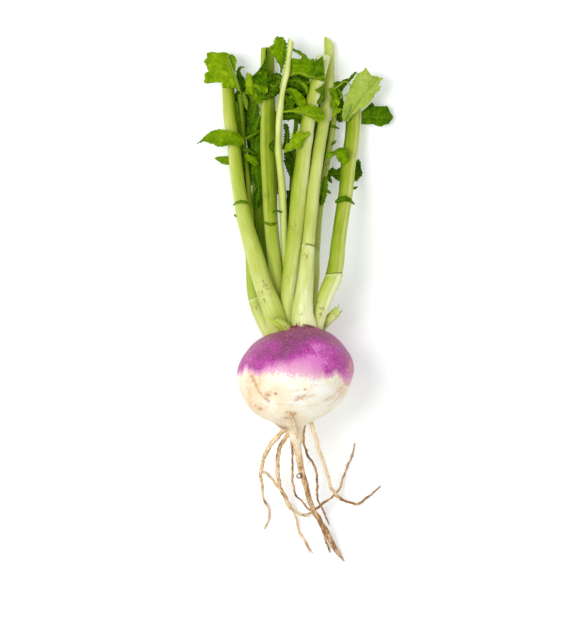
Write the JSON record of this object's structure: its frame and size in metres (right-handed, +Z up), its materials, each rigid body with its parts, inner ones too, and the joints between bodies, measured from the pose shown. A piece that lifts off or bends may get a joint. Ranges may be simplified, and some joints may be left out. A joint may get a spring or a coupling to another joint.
{
  "type": "turnip with cut leaf stalks",
  "caption": "Purple-top turnip lying on its side, with its cut leaf stalks, torn leaf scraps, tap root and side roots.",
  "frame": {"origin": "middle of the bottom of the whole object's box, on the plane that it lies on", "axes": "+Y along the leaf stalks, away from the roots; +Z up from the plane that it lies on; +X to the right of the stalks seen from above"},
  "size_m": [0.1282, 0.3428, 0.0743],
  "materials": {
    "skin": "smooth satin skin, purple at the crown, cream below",
    "stalk": "ribbed, slightly waxy green stalk, paler near the crown",
    "root": "matt tan root bark",
    "leaf": "thin ruffled green leaf with paler veins"
  },
  "bodies": {
    "root": {"bulb_with_taproot": "skin", "leaf_centre_curled": "leaf", "leaf_centre_dark": "leaf", "leaf_dark_hanging": "leaf", "leaf_dark_strip": "leaf", "leaf_gap_dark": "leaf", "leaf_inner_left": "leaf", "leaf_lacy_dark": "leaf", "leaf_left_crossing": "leaf", "leaf_left_curl": "leaf", "leaf_left_small": "leaf", "leaf_left_tip": "leaf", "leaf_low_dark": "leaf", "leaf_low_left_dark": "leaf", "leaf_on_stalk": "leaf", "leaf_pale_edge": "leaf", "leaf_right_behind": "leaf", "leaf_right_curled": "leaf", "leaf_right_dark": "leaf", "leaf_right_mid": "leaf", "leaf_right_ribbed": "leaf", "leaf_right_serrated": "leaf", "leaf_right_spike": "leaf", "leaf_right_tip": "leaf", "leaf_shadow_left": "leaf", "leaf_small_bright": "leaf", "leaf_spike_far_right": "leaf", "leaf_top_right": "leaf", "leaf_top_serrated": "leaf", "leaf_under_rib": "leaf", "leaf_wrap_centre": "leaf", "leaf_wrap_left": "leaf", "leaf_wrap_right": "leaf", "rootlet_on_neck": "root", "side_root_centre_right": "root", "side_root_centre_thin": "root", "side_root_crossing": "root", "side_root_left_branch": "root", "side_root_left_inner": "root", "side_root_left_link": "root", "side_root_left_outer": "root", "side_root_low": "root", "side_root_right": "root", "stalk_centre_front": "stalk", "stalk_centre_left": "stalk", "stalk_centre_right": "stalk", "stalk_hidden_thin": "stalk", "stalk_left_back": "stalk", "stalk_left_front": "stalk", "stalk_left_inner": "stalk", "stalk_right_snapped": "stalk", "stalk_right_thin": "stalk", "stalk_thin_front": "stalk", "stub_left_front": "stalk", "stub_right": "stalk"}
  },
  "joints": []
}
